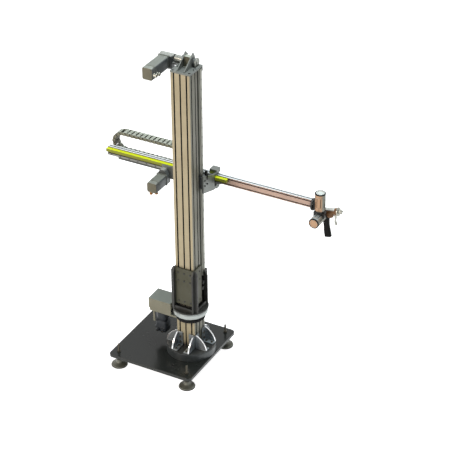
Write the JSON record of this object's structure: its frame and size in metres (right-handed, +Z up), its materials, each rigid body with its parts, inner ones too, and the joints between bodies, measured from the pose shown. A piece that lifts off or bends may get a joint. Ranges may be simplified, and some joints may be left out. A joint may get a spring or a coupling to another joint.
{
  "type": "painting robot",
  "caption": "Column robot on a levelled base plate: a swivelling column, a carriage that lifts, a rack-driven arm and a two-axis wrist with a spray gun.",
  "frame": {"origin": "on the swivel axis at the underside of the base plate", "axes": "+X the way the arm reaches, -Y the column face with three slots, +Z up"},
  "size_m": [1.5124, 0.593, 2.05],
  "materials": {
    "dark_plate": "dark grey enamel, slightly glossy",
    "foot_steel": "zinc plated steel over a dark rubber sole",
    "column_aluminium": "anodised, natural",
    "cast_bracket": "die cast, tumbled",
    "screw_steel": "zinc plated",
    "ring_steel": "turned, bright",
    "belt_rubber": "toothed belt, matt black",
    "pulley_steel": "turned",
    "sheet_steel": "light grey powder coat",
    "gearbox_metal": "grey enamel",
    "motor_paint": "grey green enamel",
    "socket_metal": "nickel plated",
    "turret_paint": "dark grey powder coat",
    "guide_aluminium": "anodised",
    "rail_steel": "ground",
    "runner_steel": "ground block with dark end caps",
    "plate_aluminium": "machined",
    "pinion_steel": "hardened",
    "rack_yellow": "bright yellow",
    "arm_aluminium": "anodised",
    "flange_black": "black oxide",
    "chain_plastic": "pale grey polymer",
    "wrist_aluminium": "machined, bright",
    "gun_brown": "brown enamel",
    "gun_white": "off white",
    "handle_black": "moulded grip",
    "nozzle_metal": "nickel plated"
  },
  "bodies": {
    "base": {"base_plate": "dark_plate", "foot_lock_nuts": "foot_steel", "foot_disc": "dark_plate", "lower_column": "column_aluminium", "foot_brackets": "cast_bracket", "bracket_screws": "screw_steel", "slew_base_flange": "dark_plate", "swivel_cover": "sheet_steel", "swivel_gearbox": "gearbox_metal", "swivel_motor": "motor_paint", "swivel_motor_sockets": "socket_metal", "swivel_belt": "belt_rubber"},
    "foot_1": {"levelling_foot_1": "foot_steel"},
    "foot_2": {"levelling_foot_2": "foot_steel"},
    "foot_3": {"levelling_foot_3": "foot_steel"},
    "foot_4": {"levelling_foot_4": "foot_steel"},
    "swivel_pulley": {"swivel_drive_pulley": "pulley_steel"},
    "column": {"slew_ring": "ring_steel", "turret_frame": "turret_paint", "turret_plates": "turret_paint", "turret_screws": "screw_steel", "main_column": "column_aluminium", "column_guide": "guide_aluminium", "lift_rails": "rail_steel", "top_plate": "plate_aluminium", "bearing_stand": "plate_aluminium", "lift_bearings": "runner_steel", "lift_gearbox": "gearbox_metal", "lift_motor": "motor_paint", "lift_motor_sockets": "socket_metal", "lift_belt": "belt_rubber"},
    "lift_top_pulley": {"lift_drive_pulley": "pulley_steel"},
    "lift_low_pulley": {"lift_idler_pulley": "pulley_steel"},
    "carriage": {"runner_blocks": "runner_steel", "carriage_side_plates": "plate_aluminium", "carriage_cross_plate": "plate_aluminium", "arm_guide_blocks": "plate_aluminium", "chain_tray": "plate_aluminium", "limit_switch": "flange_black", "arm_gearbox": "gearbox_metal", "arm_motor": "motor_paint", "arm_motor_sockets": "socket_metal", "chain_lower_run": "chain_plastic"},
    "pinion": {"arm_pinion": "pinion_steel"},
    "arm": {"arm_rack": "rack_yellow", "arm_profile": "arm_aluminium", "arm_rail": "rail_steel", "arm_flange": "flange_black", "chain_bracket": "plate_aluminium", "wrist_yaw_motor": "wrist_aluminium", "chain_upper_run": "chain_plastic"},
    "chain_turn": {"chain_loop": "chain_plastic"},
    "wrist": {"wrist_saddle": "flange_black", "wrist_pitch_motor": "wrist_aluminium"},
    "gun": {"gun_clamp": "flange_black", "gun_body": "gun_brown", "gun_top": "gun_white", "gun_handle": "handle_black", "air_cap": "nozzle_metal"},
    "trigger": {"gun_trigger": "nozzle_metal"}
  },
  "joints": [
    {"name": "foot_1_level", "type": "slide", "parent": "base", "child": "foot_1", "axis": [0, 0, 1], "range_m": [-0.01, 0.01]},
    {"name": "foot_2_level", "type": "slide", "parent": "base", "child": "foot_2", "axis": [0, 0, 1], "range_m": [-0.01, 0.01]},
    {"name": "foot_3_level", "type": "slide", "parent": "base", "child": "foot_3", "axis": [0, 0, 1], "range_m": [-0.01, 0.01]},
    {"name": "foot_4_level", "type": "slide", "parent": "base", "child": "foot_4", "axis": [0, 0, 1], "range_m": [-0.01, 0.01]},
    {"name": "column_swivel", "type": "hinge", "parent": "base", "child": "column", "pos_m": [0, 0, 0.292], "axis": [0, 0, 1], "range_deg": [-170, 170], "deforming": ["swivel_belt"]},
    {"name": "swivel_pulley_spin", "type": "hinge", "parent": "base", "child": "swivel_pulley", "pos_m": [-0.19, -0.004, 0.292], "axis": [0, 0, 1], "range_deg": [-645.3, 645.3]},
    {"name": "carriage_lift", "type": "slide", "parent": "column", "child": "carriage", "axis": [0, 0, 1], "range_m": [-0.46, 0.64], "deforming": ["lift_belt"]},
    {"name": "lift_pulley_spin", "type": "hinge", "parent": "column", "child": "lift_top_pulley", "pos_m": [0, 0.056, 1.917], "axis": [1, 0, 0], "range_deg": [-1032.5, 1436.2]},
    {"name": "idler_spin", "type": "hinge", "parent": "column", "child": "lift_low_pulley", "pos_m": [0, 0.056, 0.475], "axis": [1, 0, 0], "range_deg": [-1032.5, 1436.2]},
    {"name": "arm_extend", "type": "slide", "parent": "carriage", "child": "arm", "axis": [1, 0, 0], "range_m": [-0.04, 0.38], "deforming": ["chain_upper_run", "chain_lower_run"]},
    {"name": "pinion_spin", "type": "hinge", "parent": "carriage", "child": "pinion", "pos_m": [-0.244, 0.168, 1.111], "axis": [0, 1, 0], "range_deg": [-153.8, 1452.5]},
    {"name": "chain_travel", "type": "slide", "parent": "carriage", "child": "chain_turn", "axis": [1, 0, 0], "range_m": [-0.0205, 0.1905]},
    {"name": "wrist_yaw", "type": "hinge", "parent": "arm", "child": "wrist", "pos_m": [0.735, 0.212, 1.084], "axis": [0, 0, 1], "range_deg": [-90, 60]},
    {"name": "wrist_pitch", "type": "hinge", "parent": "wrist", "child": "gun", "pos_m": [0.735, 0.259, 1.038], "axis": [0, 1, 0], "range_deg": [-40, 40]},
    {"name": "trigger_pull", "type": "hinge", "parent": "gun", "child": "trigger", "pos_m": [0.80993, 0.259, 1.05101], "axis": [0, 1, 0], "range_deg": [0, 15], "stiffness_Nm_per_rad": 1, "springref_deg": -17.19}
  ],
  "couplings": [
    {"joint": "swivel_pulley_spin", "follows": "column_swivel", "ratio": 3.7842},
    {"joint": "lift_pulley_spin", "follows": "carriage_lift", "rad_per_m": 39.139},
    {"joint": "idler_spin", "follows": "carriage_lift", "rad_per_m": 39.139},
    {"joint": "pinion_spin", "follows": "arm_extend", "rad_per_m": 66.667},
    {"joint": "chain_travel", "follows": "arm_extend", "ratio": 0.5}
  ]
}
